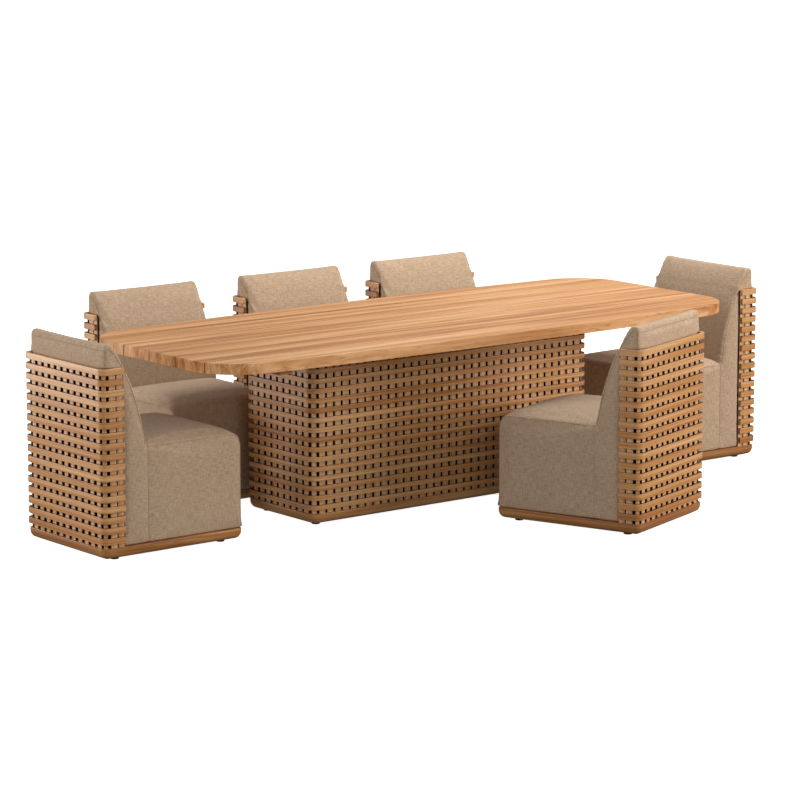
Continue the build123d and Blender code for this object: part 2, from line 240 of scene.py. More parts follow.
def meshObject(name, vertices, edges, faces, material=None):
    mesh = bpy.data.meshes.new(name)
    mesh.from_pydata([tuple(v) for v in vertices], edges, faces)
    if material:
        mesh.materials.append(material)
    piece = bpy.data.objects.new(name, mesh)
    scene.collection.objects.link(piece)
    return piece


def paintPoints(mesh, name, kind, values):
    layer = mesh.attributes.new(name, kind, "POINT")
    layer.data.foreach_set("vector" if kind == "FLOAT_VECTOR" else "value", np.asarray(values, np.float32).ravel())


def evaluateInto(piece, name):   # the evaluated shape as a plain mesh, with no modifier left
    bpy.context.view_layer.update()
    graph = bpy.context.evaluated_depsgraph_get()
    mesh = bpy.data.meshes.new_from_object(piece.evaluated_get(graph), preserve_all_data_layers=True,
                                           depsgraph=graph)
    mesh.name = name
    piece.modifiers.clear()
    piece.data = mesh
    return piece


def flatNormals(piece):   # area-weighted, so faces stay flat beside their rounded edges
    modifier = piece.modifiers.new("normals", "WEIGHTED_NORMAL")
    modifier.mode = "FACE_AREA"
    modifier.weight = 50
    modifier.keep_sharp = False


def runTree(piece, tree, values):
    modifier = piece.modifiers.new("build", "NODES")
    modifier.node_group = tree
    for item in tree.interface.items_tree:
        if item.item_type == "SOCKET" and item.in_out == "INPUT" and item.name in values:
            modifier[item.identifier] = values[item.name]
    piece.update_tag()
    return piece


def newTree(name, sockets):
    tree = bpy.data.node_groups.new(name, "GeometryNodeTree")
    tree.interface.new_socket("Geometry", in_out="INPUT", socket_type="NodeSocketGeometry")
    for label, kind in sockets:
        tree.interface.new_socket(label, in_out="INPUT", socket_type=kind)
    tree.interface.new_socket("Geometry", in_out="OUTPUT", socket_type="NodeSocketGeometry")
    return tree, tree.nodes.new("NodeGroupInput"), tree.nodes.new("NodeGroupOutput")


def barSection(tree, inputs):   # rounded rectangle, Thickness by Width
    section = addNode(tree, "GeometryNodeCurvePrimitiveQuadrilateral", None,
                      {"Width": inputs.outputs["Thickness"], "Height": inputs.outputs["Width"]})
    return addNode(tree, "GeometryNodeFilletCurve", {"mode": "POLY"},
                   {"Curve": section.outputs[0], "Count": 3, "Radius": inputs.outputs["Edge"]})


eachFloat, eachVector, eachNumber = [{"data_type": kind, "domain": "POINT"}
                                     for kind in ("FLOAT", "FLOAT_VECTOR", "INT")]


def endTree(tree, geometry, finish, output):    # smooth shading and the finish come last in every tree
    smooth = addNode(tree, "GeometryNodeSetShadeSmooth", None, {"Geometry": geometry})
    painted = addNode(tree, "GeometryNodeSetMaterial", None, {"Geometry": smooth.outputs[0], "Material": finish})
    tree.links.new(painted.outputs[0], output.inputs[0])


def endFaces(tree, offset, width):      # 1 on the two flat faces at either end of the section's width, otherwise 0
    away = addNode(tree, "ShaderNodeMath", {"operation": "ABSOLUTE"}, {0: offset})
    half = addNode(tree, "ShaderNodeMath", {"operation": "MULTIPLY"}, {0: width, 1: 0.4999})
    return addNode(tree, "ShaderNodeMath", {"operation": "GREATER_THAN"},
                   {0: away.outputs[0], 1: half.outputs[0]}).outputs[0]


def storeGrain(tree, geometry, along, section, seedSource):   # grain runs along each bar; one random tone a bar
    apart = addNode(tree, "ShaderNodeSeparateXYZ", None, {"Vector": section})
    offset = addNode(tree, "FunctionNodeRandomValue", {"data_type": "FLOAT"},
                     {"Min": 0.0, "Max": 9.0, "ID": seedSource[0], "Seed": seedSource[1]})
    offsetAcross = addNode(tree, "ShaderNodeMath", {"operation": "MULTIPLY"}, {0: offset.outputs[1], 1: 1.7})
    plusAlong = addNode(tree, "ShaderNodeMath", {"operation": "ADD"}, {0: along, 1: offset.outputs[1]})
    plusAcross = addNode(tree, "ShaderNodeMath", {"operation": "ADD"},
                         {0: apart.outputs[0], 1: offsetAcross.outputs[0]})
    joined = addNode(tree, "ShaderNodeCombineXYZ", None,
                     {0: plusAlong.outputs[0], 1: plusAcross.outputs[0], 2: apart.outputs[1]})
    grain = addNode(tree, "GeometryNodeStoreNamedAttribute", eachVector,
                    {"Geometry": geometry, "Name": "grain", "Value": joined.outputs[0]})
    tone = addNode(tree, "FunctionNodeRandomValue", {"data_type": "FLOAT"},
                   {"Min": -0.5, "Max": 0.5, "ID": seedSource[0], "Seed": seedSource[1]})
    return addNode(tree, "GeometryNodeStoreNamedAttribute", eachFloat,
                   {"Geometry": grain.outputs[0], "Name": "shade", "Value": tone.outputs[1]})


slatTree, slatIn, slatOut = newTree("stackedSlats", [   # a section swept along the base mesh, then stacked upward
    ("Width", "NodeSocketFloat"), ("Thickness", "NodeSocketFloat"), ("Edge", "NodeSocketFloat"),
    ("Count", "NodeSocketInt"), ("Pitch", "NodeSocketFloat"), ("Seed", "NodeSocketInt"),
    ("Finish", "NodeSocketMaterial")])
slatPath = addNode(slatTree, "GeometryNodeMeshToCurve", None, {"Mesh": slatIn.outputs["Geometry"]})
slatUp = addNode(slatTree, "GeometryNodeSetCurveNormal", {"mode": "Z_UP"}, {"Curve": slatPath.outputs[0]})
slatRun = addNode(slatTree, "GeometryNodeCaptureAttribute", {"domain": "POINT"}, {"Geometry": slatUp.outputs[0]})
slatRun.capture_items.new("FLOAT", "along")
slatTree.links.new(addNode(slatTree, "GeometryNodeSplineParameter").outputs["Length"], slatRun.inputs["along"])
slatSection = barSection(slatTree, slatIn)
slatRound = addNode(slatTree, "GeometryNodeCaptureAttribute", {"domain": "POINT"},
                    {"Geometry": slatSection.outputs[0]})
slatRound.capture_items.new("VECTOR", "section")
slatTree.links.new(addNode(slatTree, "GeometryNodeInputPosition").outputs[0], slatRound.inputs["section"])
slatSwell = addNode(slatTree, "GeometryNodeInputNamedAttribute", {"data_type": "FLOAT"}, {"Name": "swell"})
slatBar = addNode(slatTree, "GeometryNodeCurveToMesh", None,
                  {"Curve": slatRun.outputs[0], "Profile Curve": slatRound.outputs[0],
                   "Scale": slatSwell.outputs[0], "Fill Caps": True})
slatRise = addNode(slatTree, "ShaderNodeCombineXYZ", None, {2: slatIn.outputs["Pitch"]})
slatLine = addNode(slatTree, "GeometryNodeMeshLine", {"mode": "OFFSET"},
                   {"Count": slatIn.outputs["Count"], "Offset": slatRise.outputs[0]})
slatNumber = addNode(slatTree, "GeometryNodeStoreNamedAttribute", eachNumber,
                     {"Geometry": slatLine.outputs[0], "Name": "number",
                      "Value": addNode(slatTree, "GeometryNodeInputIndex").outputs[0]})
slatCopies = addNode(slatTree, "GeometryNodeInstanceOnPoints", None,
                     {"Points": slatNumber.outputs[0], "Instance": slatBar.outputs[0]})
slatReal = addNode(slatTree, "GeometryNodeRealizeInstances", None, {"Geometry": slatCopies.outputs[0]})
slatId = addNode(slatTree, "GeometryNodeInputNamedAttribute", {"data_type": "INT"}, {"Name": "number"})
slatGrain = storeGrain(slatTree, slatReal.outputs[0], slatRun.outputs["along"], slatRound.outputs["section"],
                       (slatId.outputs[0], slatIn.outputs["Seed"]))
slatApart = addNode(slatTree, "ShaderNodeSeparateXYZ", None, {"Vector": slatRound.outputs["section"]})
# painted shade: the top and bottom faces of every slat but the top one are darkened, where the cells between slats lie
# in shadow
slatLast = addNode(slatTree, "ShaderNodeMath", {"operation": "SUBTRACT"}, {0: slatIn.outputs["Count"], 1: 1.5})
slatUnder = addNode(slatTree, "ShaderNodeMath", {"operation": "LESS_THAN"},
                    {0: slatId.outputs[0], 1: slatLast.outputs[0]})
slatShadeMask = addNode(slatTree, "ShaderNodeMath", {"operation": "MULTIPLY"},
                   {0: endFaces(slatTree, slatApart.outputs[1], slatIn.outputs["Width"]), 1: slatUnder.outputs[0]})
slatShaded = addNode(slatTree, "GeometryNodeStoreNamedAttribute", eachFloat,
                     {"Geometry": slatGrain.outputs[0], "Name": "painted_joint_shade", "Value": slatShadeMask.outputs[0]})
endTree(slatTree, slatShaded.outputs[0], slatIn.outputs["Finish"], slatOut)

postTree, postIn, postOut = newTree("standingPosts", [   # an upright stands on each point, turned by its turn value
    ("Width", "NodeSocketFloat"), ("Thickness", "NodeSocketFloat"), ("Edge", "NodeSocketFloat"),
    ("Height", "NodeSocketFloat"), ("Seed", "NodeSocketInt"), ("Finish", "NodeSocketMaterial")])
postTip = addNode(postTree, "ShaderNodeCombineXYZ", None, {2: postIn.outputs["Height"]})
postLine = addNode(postTree, "GeometryNodeCurvePrimitiveLine", None, {"End": postTip.outputs[0]})
postSection = barSection(postTree, postIn)
postBar = addNode(postTree, "GeometryNodeCurveToMesh", None,
                  {"Curve": postLine.outputs[0], "Profile Curve": postSection.outputs[0], "Fill Caps": True})
postFlat = addNode(postTree, "GeometryNodeStoreNamedAttribute", eachVector,
                   {"Geometry": postBar.outputs[0], "Name": "own",
                    "Value": addNode(postTree, "GeometryNodeInputPosition").outputs[0]})
postNumber = addNode(postTree, "GeometryNodeStoreNamedAttribute", eachNumber,
                     {"Geometry": postIn.outputs["Geometry"], "Name": "number",
                      "Value": addNode(postTree, "GeometryNodeInputIndex").outputs[0]})
postTurn = addNode(postTree, "GeometryNodeInputNamedAttribute", {"data_type": "FLOAT"}, {"Name": "turn"})
postScale = addNode(postTree, "GeometryNodeInputNamedAttribute", {"data_type": "FLOAT"}, {"Name": "wide"})
postAngle = addNode(postTree, "FunctionNodeAxisAngleToRotation", None,
                    {"Axis": (0.0, 0.0, 1.0), "Angle": postTurn.outputs[0]})
postSize = addNode(postTree, "ShaderNodeCombineXYZ", None, {0: 1.0, 1: postScale.outputs[0], 2: 1.0})
postCopies = addNode(postTree, "GeometryNodeInstanceOnPoints", None,
                     {"Points": postNumber.outputs[0], "Instance": postFlat.outputs[0],
                      "Rotation": postAngle.outputs[0], "Scale": postSize.outputs[0]})
postReal = addNode(postTree, "GeometryNodeRealizeInstances", None, {"Geometry": postCopies.outputs[0]})
postOwn = addNode(postTree, "GeometryNodeInputNamedAttribute", {"data_type": "FLOAT_VECTOR"}, {"Name": "own"})
postApart = addNode(postTree, "ShaderNodeSeparateXYZ", None, {"Vector": postOwn.outputs[0]})
postId = addNode(postTree, "GeometryNodeInputNamedAttribute", {"data_type": "INT"}, {"Name": "number"})
postGrain = storeGrain(postTree, postReal.outputs[0], postApart.outputs[2], postOwn.outputs[0],
                       (postId.outputs[0], postIn.outputs["Seed"]))
# painted shade: the post's two faces that look sideways into the gaps are darkened
postShaded = addNode(postTree, "GeometryNodeStoreNamedAttribute", eachFloat,
                     {"Geometry": postGrain.outputs[0], "Name": "painted_joint_shade",
                      "Value": endFaces(postTree, postApart.outputs[1], postIn.outputs["Width"])})
endTree(postTree, postShaded.outputs[0], postIn.outputs["Finish"], postOut)

seamTree, seamIn, seamOut = newTree("seamWelt", [       # a thin welt swept along the base mesh
    ("Radius", "NodeSocketFloat"), ("Finish", "NodeSocketMaterial")])
seamPath = addNode(seamTree, "GeometryNodeMeshToCurve", None, {"Mesh": seamIn.outputs["Geometry"]})
seamSection = addNode(seamTree, "GeometryNodeCurvePrimitiveCircle", None,
                      {"Resolution": 6, "Radius": seamIn.outputs["Radius"]})
seamTube = addNode(seamTree, "GeometryNodeCurveToMesh", None,
                   {"Curve": seamPath.outputs[0], "Profile Curve": seamSection.outputs[0], "Fill Caps": True})
seamReal = addNode(seamTree, "GeometryNodeRealizeInstances", None, {"Geometry": seamTube.outputs[0]})
endTree(seamTree, seamReal.outputs[0], seamIn.outputs["Finish"], seamOut)
print("node trees made")


def barsFrom(path, tree, values, name):     # runs a tree on its path and keeps the result as a plain mesh
    runTree(path, tree, values)
    flatNormals(path)
    evaluateInto(path, name)
    path.name = name


easedEnd = ((0.0, 0.72), (0.0012, 0.93), (0.0035, 1.0))    # distance from a slat's end, and the section's size there


def barPath(points, swellEnds):   # the ends shrink a little, so that each slat's end is eased
    points = [Vector(p) for p in points]
    swell = [1.0] * len(points)
    if swellEnds:
        for end in range(2):
            way = (points[1] - points[0]).normalized()
            points = [points[0] + way * away for away, size in easedEnd] + points[1:]
            swell = [size for away, size in easedEnd] + swell[1:]
            points.reverse()
            swell.reverse()
    piece = meshObject("path", points, [(i, i + 1) for i in range(len(points) - 1)], [])
    paintPoints(piece.data, "swell", "FLOAT", swell)
    return piece


def postField(places):   # each place: x, y, z, turn in degrees, width factor
    piece = meshObject("posts", [p[:3] for p in places], [], [])
    paintPoints(piece.data, "turn", "FLOAT", [math.radians(p[3]) for p in places])
    paintPoints(piece.data, "wide", "FLOAT", [p[4] for p in places])
    return piece


def loftedRails(name, levels, corner, steps, material, seed):   # each level: half length, half depth, z, inset
    vertices, faces, grain = [], [], []
    count = 4 * (steps + 1)
    down = 0.0
    for index, (halfX, halfY, z, inset) in enumerate(levels):
        loop = roundedLoop(halfX - inset, halfY - inset, max(corner - inset, 0.004), steps)
        if index:
            down += math.hypot(z - levels[index - 1][2], inset - levels[index - 1][3])
        run = 0.0
        for k, (x, y) in enumerate(loop):
            if k:
                run += math.dist(loop[k], loop[k - 1])
            vertices.append((x, y, z))
            grain.append((run + seed, down + seed * 1.3, 0.0))
    for level in range(len(levels) - 1):
        for k in range(count):
            a, b = level * count + k, level * count + (k + 1) % count
            faces.append((a, b, b + count, a + count))
    faces.append(tuple(reversed(range(count))))
    faces.append(tuple(range((len(levels) - 1) * count, len(levels) * count)))
    piece = meshObject(name, vertices, [], faces, material)
    for polygon in piece.data.polygons:
        polygon.use_smooth = True
    paintPoints(piece.data, "grain", "FLOAT_VECTOR", grain)
    paintPoints(piece.data, "shade", "FLOAT", [0.0] * len(vertices))
    flatNormals(piece)
    return evaluateInto(piece, name)


def roundedLevels(halfX, halfY, bottom, top, lowRound, topRound, steps):
    levels = []
    for step in range(steps + 1):
        angle = math.radians(90 * step / steps)
        levels.append((halfX, halfY, bottom + lowRound * (1 - math.cos(angle)), lowRound * (1 - math.sin(angle))))
    for step in range(3):
        angle = math.radians(90 * step / 2)
        levels.append((halfX, halfY, top - topRound * (1 - math.sin(angle)), topRound * (1 - math.cos(angle))))
    return levels


topSet = {"bow": 0.048, "corner": 0.223, "boards": 6, "gap": 0.0012, "edge": 0.0022,
          "tones": (0.02, -0.06, 0.05, -0.03, 0.07, 0.0), "shift": 1.37, "downEdge": 0.3, "sharp": 35,
          "grooveFacing": 0.25}
boardBoxes = [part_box(f"top_board_{k + 1}") for k in range(topSet["boards"])]
topLow = Vector([min(b[0][i] for b in boardBoxes) for i in range(3)])
topHigh = Vector([max(b[1][i] for b in boardBoxes) for i in range(3)])
halfLength, halfWidth = (topHigh.x - topLow.x) / 2, (topHigh.y - topLow.y) / 2


def topOutline():   # bowed long sides, straight ends, round corners
    bowRadius = (halfLength ** 2 + topSet["bow"] ** 2) / (2 * topSet["bow"])
    bowCentre = halfWidth - bowRadius
    r = topSet["corner"]
    cx = halfLength - r     # the corner circle touches the straight end and the bow from inside
    cy = bowCentre + math.sqrt((bowRadius - r) ** 2 - cx ** 2)
    touch = math.atan2(cy - bowCentre, cx)
    quarter = []
    for step in range(25):
        angle = touch * step / 24
        quarter.append((cx + r * math.cos(angle), cy + r * math.sin(angle)))
    for step in range(1, 41):
        angle = touch + (math.pi / 2 - touch) * step / 40
        quarter.append((bowRadius * math.cos(angle), bowCentre + bowRadius * math.sin(angle)))
    upper = quarter + [(-x, y) for x, y in reversed(quarter[:-1])]
    return upper + [(-x, -y) for x, y in upper]


def clipBelow(points, level, keepAbove):   # the part of a plan loop on one side of y = level
    kept = []
    for index, point in enumerate(points):
        before = points[index - 1]
        inside = (point[1] >= level) == keepAbove
        wasInside = (before[1] >= level) == keepAbove
        if inside != wasInside:
            share = (level - before[1]) / (point[1] - before[1])
            kept.append((before[0] + share * (point[0] - before[0]), level))
        if inside:
            kept.append(point)
    return kept


outline = topOutline()
jointLines = [box[0].y for box in boardBoxes[1:]]
for index, (low, high) in enumerate(boardBoxes):
    plan = clipBelow(outline, low.y, True) if index else outline
    plan = clipBelow(plan, high.y, False) if index < topSet["boards"] - 1 else plan
    merged = [p for k, p in enumerate(plan) if math.dist(p, plan[k - 1]) > 1e-5]
    count = len(merged)
    vertices = [(x, y, low.z) for x, y in merged] + [(x, y, high.z) for x, y in merged]
    faces = [tuple(reversed(range(count))), tuple(range(count, 2 * count))]
    faces += [(k, (k + 1) % count, (k + 1) % count + count, k + count) for k in range(count)]
    board = meshObject(f"teak_board_{index + 1}", vertices, [], faces, teakTop)
    bevel = board.modifiers.new("edge", "BEVEL")
    bevel.width = topSet["edge"]
    bevel.segments = 3
    bevel.limit_method = "ANGLE"
    bevel.angle_limit = math.radians(topSet["sharp"])
    for polygon in board.data.polygons:
        polygon.use_smooth = True
    flatNormals(board)
    evaluateInto(board, board.name)
    places = np.array([v.co for v in board.data.vertices])
    shift = topSet["shift"] * (index + 1)      # each board is cut from another place in the grain
    paintPoints(board.data, "grain", "FLOAT_VECTOR",
                np.column_stack((places[:, 0] + shift, places[:, 1] + shift * 2.1, places[:, 2] * topSet["downEdge"])))
    paintPoints(board.data, "shade", "FLOAT", np.full(len(places), topSet["tones"][index]))
    board.data.materials.append(grooveShadowTeak)
    for polygon in board.data.polygons:      # the eased edges beside a joint take the groove's painted shadow
        nearJoint = min(abs(polygon.center.y - edge) for edge in jointLines) < topSet["edge"] + topSet["gap"]
        if nearJoint and abs(polygon.normal.y) > topSet["grooveFacing"] and polygon.center.z > low.z + 0.002:
            polygon.material_index = 1
    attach(board, "table")
    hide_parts(f"top_board_{index + 1}")
print("table top made")

latticeSet = {"thick": 0.013, "edge": 0.0014, "postThick": 0.013, "postEdge": 0.0025, "glue": 0.0003,
              "cornerHalf": 0.008, "cornerGap": 0.0005}
baseSet = {"corner": 0.050, "slat": 0.020, "slats": 16, "joint": 0.0004, "postWide": 0.030, "pitch": 0.0398,
           "endPitch": 0.0434, "longPosts": 17, "endPosts": 4, "cornerWide": 0.020}
baseLow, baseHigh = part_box("pedestal_slats")
postLow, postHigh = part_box("pedestal_posts")


def stackSlats(path, size, low, high, seed, name):
    barsFrom(path, slatTree, {
        "Width": size["slat"], "Thickness": latticeSet["thick"], "Edge": latticeSet["edge"], "Count": size["slats"],
        "Pitch": (high.z - low.z - size["slat"]) / (size["slats"] - 1), "Seed": seed, "Finish": teakSlat}, name)


def standPosts(places, size, low, high, seed, name):
    posts = postField(places)
    barsFrom(posts, postTree, {
        "Width": size["postWide"], "Thickness": latticeSet["postThick"], "Edge": latticeSet["postEdge"],
        "Height": high.z - low.z, "Seed": seed, "Finish": teakPost}, name)
    return posts


def ringPath(halfX, halfY, radius, z, gap):   # closed path, butt joint in the middle of the far side
    loop = roundedLoop(halfX, halfY, radius, 8)
    farHalf = len(loop) // 2
    start = next(k for k, (x, y) in enumerate(loop) if k >= farHalf and x < 0)   # just past the far side's middle
    turned = loop[start:] + loop[:start]
    return [(-gap / 2, halfY, z)] + [(x, y, z) for x, y in turned] + [(gap / 2, halfY, z)]


halfX, halfY = (baseHigh.x - baseLow.x) / 2, (baseHigh.y - baseLow.y) / 2
inset = latticeSet["thick"] / 2
slatRings = barPath(ringPath(halfX - inset, halfY - inset, baseSet["corner"] - inset,
                             baseLow.z + baseSet["slat"] / 2, baseSet["joint"]), False)
stackSlats(slatRings, baseSet, baseLow, baseHigh, 5, "pedestal_slat_rings")

postInset = latticeSet["thick"] + latticeSet["glue"] + latticeSet["postThick"] / 2
postX, postY = halfX - postInset, halfY - postInset


def cornerReach(corner):   # how far round the corner's curve its post stands
    inner = corner - latticeSet["thick"]
    reach = math.sqrt(inner ** 2 - latticeSet["cornerHalf"] ** 2)
    return (reach - latticeSet["postThick"] / 2 - latticeSet["cornerGap"]) / math.sqrt(2)


places = []
for step in range(-baseSet["longPosts"], baseSet["longPosts"] + 1):
    for side in (-1, 1):
        places.append((step * baseSet["pitch"], side * postY, postLow.z, 90, 1.0))
for step in range(-baseSet["endPosts"], baseSet["endPosts"] + 1):
    for side in (-1, 1):
        places.append((side * postX, step * baseSet["endPitch"], postLow.z, 0, 1.0))
reach = cornerReach(baseSet["corner"])
for sideX in (-1, 1):
    for sideY in (-1, 1):
        places.append((sideX * (halfX - baseSet["corner"] + reach), sideY * (halfY - baseSet["corner"] + reach),
                       postLow.z, 45 * sideX * sideY, baseSet["cornerWide"] / baseSet["postWide"]))
basePosts = standPosts(places, baseSet, postLow, postHigh, 11, "pedestal_uprights")

plinthLow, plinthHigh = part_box("pedestal_plinth")
plinthSet = {"lowRound": 0.030, "topRound": 0.003, "inset": 0.004}
basePlinth = loftedRails("pedestal_base_rails", roundedLevels(
    (plinthHigh.x - plinthLow.x) / 2, (plinthHigh.y - plinthLow.y) / 2, plinthLow.z, plinthHigh.z,
    plinthSet["lowRound"], plinthSet["topRound"], 6), baseSet["corner"] - plinthSet["inset"], 10, teakPlinth, 3.1)
for piece, node in ((slatRings, "pedestal_slats"), (basePosts, "pedestal_posts"), (basePlinth, "pedestal_plinth")):
    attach(piece, "table")
    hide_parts(node)
print("pedestal made")

chairSet = {    # built once about its own middle, facing +X
    "corner": 0.032, "slat": 0.025, "slats": 17, "postPitch": 0.0455, "postWide": 0.026, "rearPosts": 5,
    "cornerWide": 0.016, "sidePosts": ((0.0135, 0.027), (0.046, 0.030)), "front": -0.232, "halfX": 0.3335,
    "halfY": 0.283, "plinthTuck": 0.001, "turnSteps": 8}
patternChair = "left_end_chair"     # stands square to the frame, so its boxes give the chair's own sizes
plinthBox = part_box(f"{patternChair}_plinth")
hoopLow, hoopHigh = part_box(f"{patternChair}_slats")
chairPostLow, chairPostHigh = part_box(f"{patternChair}_posts")


def chairMatrix(chair):
    low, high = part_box(f"{chair}_plinth")
    joint = next(j for j in frame["joints"] if j["child"] == chair)
    facing = -Vector(joint["axis"])
    return Matrix.Translation(((low.x + high.x) / 2, (low.y + high.y) / 2, 0)) @ Matrix.Rotation(
        math.atan2(facing.y, facing.x), 4, "Z")


def placeOnChairs(piece, label, nodes):   # a copy for each chair; the piece itself goes
    made = []
    for chair in chairNames:
        mesh = piece.data.copy()
        mesh.name = f"{chair}_{label}"
        mesh.transform(chairMatrix(chair))
        copy = bpy.data.objects.new(f"{chair}_{label}", mesh)
        scene.collection.objects.link(copy)
        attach(copy, chair)
        if nodes:
            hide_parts(*[f"{chair}_{node}" for node in nodes])
        made.append(copy)
    bpy.data.objects.remove(piece)
    return made


hx, hy, hr = chairSet["halfX"] - inset, chairSet["halfY"] - inset, chairSet["corner"] - inset
hoop = [(chairSet["front"], -hy)]
for side, start in ((-1, 270), (1, 180)):
    for step in range(chairSet["turnSteps"] + 1):
        angle = math.radians(start - 90 * step / chairSet["turnSteps"])
        hoop.append((-hx + hr + hr * math.cos(angle), side * (hy - hr) + hr * math.sin(angle)))
hoop.append((chairSet["front"], hy))
hoopPath = barPath([(x, y, hoopLow.z + chairSet["slat"] / 2) for x, y in hoop], True)
stackSlats(hoopPath, chairSet, hoopLow, hoopHigh, 23, "chair_hoops")
placeOnChairs(hoopPath, "slat_hoops", ["slats"])

postRear, postSide = postInset - chairSet["halfX"], chairSet["halfY"] - postInset
places = [(postRear, k * chairSet["postPitch"], chairPostLow.z, 0, 1.0)
          for k in range(-chairSet["rearPosts"], chairSet["rearPosts"] + 1)]
reach = cornerReach(chairSet["corner"])
for side in (-1, 1):
    for away, wide in chairSet["sidePosts"]:
        places.append((chairSet["front"] - away, side * postSide, chairPostLow.z, 90,
                       wide / chairSet["postWide"]))
    places.append((-(chairSet["halfX"] - chairSet["corner"] + reach),
                   side * (chairSet["halfY"] - chairSet["corner"] + reach), chairPostLow.z, -45 * side,
                   chairSet["cornerWide"] / chairSet["postWide"]))
chairPosts = standPosts(places, chairSet, chairPostLow, chairPostHigh, 31, "chair_uprights")
placeOnChairs(chairPosts, "uprights", ["posts"])

chairPlinth = loftedRails("chair_base_rails", roundedLevels(
    (plinthBox[1].x - plinthBox[0].x) / 2, (plinthBox[1].y - plinthBox[0].y) / 2, plinthBox[0].z, plinthBox[1].z,
    plinthSet["lowRound"], plinthSet["topRound"], 6), chairSet["corner"] - chairSet["plinthTuck"], 8, teakPlinth, 6.3)
placeOnChairs(chairPlinth, "base_rails", ["plinth"])
print("chair woodwork made")

softSet = {"voxel": 0.0065, "bottom": 0.0535, "seatHalf": 0.268, "backHalf": 0.268, "narrowHalf": 0.2525,
           "lattice": -0.230, "rollHalf": 0.265, "cap": 0.006, "held": 0.062, "frames": 20,
           "crown": 0.024, "crownRise": (0.38, 0.436), "crownRear": -0.16, "crownLength": 0.50,
           "rearSeam": 0.826, "weltRadius": 0.0011, "furrowWidth": 0.009}
clothSet = {"quality": 4, "mass": 0.4, "tension_stiffness": 12, "compression_stiffness": 12, "shear_stiffness": 6,
            "bending_stiffness": 1.2, "use_pressure": True, "uniform_pressure_force": 4.0}
seatProfile = [(-0.1215, 0.0535), (0.332, 0.0535), (0.332, 0.385), (0.3305, 0.400), (0.326, 0.413), (0.318, 0.424),
               (0.307, 0.432), (0.293, 0.437), (0.276, 0.4385), (-0.1215, 0.4385)]
backProfile = [(-0.3055, 0.0535), (-0.1165, 0.0535), (-0.1165, 0.433), (-0.1265, 0.485), (-0.137, 0.535),
               (-0.150, 0.583), (-0.166, 0.633), (-0.184, 0.682), (-0.2115, 0.742), (-0.225, 0.770),
               (-0.242, 0.798), (-0.262, 0.824), (-0.277, 0.8395), (-0.284, 0.844), (-0.292, 0.844),
               (-0.3005, 0.838), (-0.3055, 0.827)]
rollProfile = [(-0.3145, 0.7585), (-0.2185, 0.7585), (-0.223, 0.770), (-0.239, 0.799), (-0.258, 0.827),
               (-0.273, 0.8445), (-0.282, 0.8500), (-0.294, 0.8505), (-0.305, 0.8465), (-0.312, 0.838),
               (-0.3145, 0.828)]    # shows over the lattice


def prism(mesh, profile, half):   # adds an X-Z profile drawn out across the chair
    near = [mesh.verts.new((x, -half, z)) for x, z in profile]
    far = [mesh.verts.new((x, half, z)) for x, z in profile]
    mesh.faces.new(near)
    mesh.faces.new(list(reversed(far)))
    for k in range(len(profile)):
        j = (k + 1) % len(profile)
        mesh.faces.new((near[j], near[k], far[k], far[j]))


def cutProfile(profile, keepFrontOf):   # the part of a profile in front of the lattice
    kept = []
    for index, point in enumerate(profile):
        before = profile[index - 1]
        inside, wasInside = point[0] >= keepFrontOf, before[0] >= keepFrontOf
        if inside != wasInside:
            share = (keepFrontOf - before[0]) / (point[0] - before[0])
            kept.append((keepFrontOf, before[1] + share * (point[1] - before[1])))
        if inside:
            kept.append(point)
    return kept


def padFrom(name, prisms):
    mesh = bpy.data.meshes.new(name)
    build = bmesh.new()
    for profile, half in prisms:
        prism(build, profile, half)
    bmesh.ops.recalc_face_normals(build, faces=build.faces)
    build.to_mesh(mesh)
    build.free()
    piece = bpy.data.objects.new(name, mesh)
    scene.collection.objects.link(piece)
    remesh = piece.modifiers.new("voxels", "REMESH")
    remesh.mode = "VOXEL"
    remesh.voxel_size = softSet["voxel"]
    smooth = piece.modifiers.new("ease", "SMOOTH")
    smooth.factor = 0.5
    smooth.iterations = 5
    evaluateInto(piece, name)
    return piece


def vertexValues(mesh, kind="co"):
    values = np.zeros(len(mesh.vertices) * 3)
    mesh.vertices.foreach_get(kind, values)
    return values.reshape(-1, 3)


def setCoordinates(mesh, values):
    mesh.vertices.foreach_set("co", np.ascontiguousarray(values, np.float32).ravel())
    mesh.update()


def puff(piece, held):   # swells the pad with air pressure, each move held under the cap
    rest = vertexValues(piece.data)
    group = piece.vertex_groups.new(name="held")
    group.add([int(k) for k in np.nonzero(held(rest))[0]], 1.0, "REPLACE")
    cloth = piece.modifiers.new("pressure", "CLOTH")
    for name, value in clothSet.items():
        setattr(cloth.settings, name, value)
    cloth.settings.effector_weights.gravity = 0
    cloth.settings.vertex_group_mass = "held"
    cloth.point_cache.frame_start = 1
    cloth.point_cache.frame_end = softSet["frames"]
    for number in range(1, softSet["frames"] + 1):
        scene.frame_set(number)
    graph = bpy.context.evaluated_depsgraph_get()
    moved = vertexValues(piece.evaluated_get(graph).data)
    piece.modifiers.clear()
    piece.vertex_groups.clear()
    scene.frame_set(1)
    shift = moved - rest
    length = np.linalg.norm(shift, axis=1, keepdims=True)
    print(piece.name, "largest swell", round(float(length.max()) * 1000, 1), "mm")
    return rest + shift / np.maximum(length, 1e-9) * softSet["cap"] * np.tanh(length / softSet["cap"])


def smoothStep(value, low, high):
    t = np.clip((value - low) / (high - low), 0, 1)
    return t * t * (3 - 2 * t)


def segmentsDistance(points, path):   # of each point from a path of straight runs
    best = np.full(len(points), 9.0)
    path = np.asarray(path, float)
    for a, b in zip(path[:-1], path[1:]):
        d = b - a
        t = np.clip(((points - a) @ d) / max(d @ d, 1e-12), 0, 1)
        best = np.minimum(best, np.linalg.norm(points - (a + t[:, None] * d), axis=1))
    return best


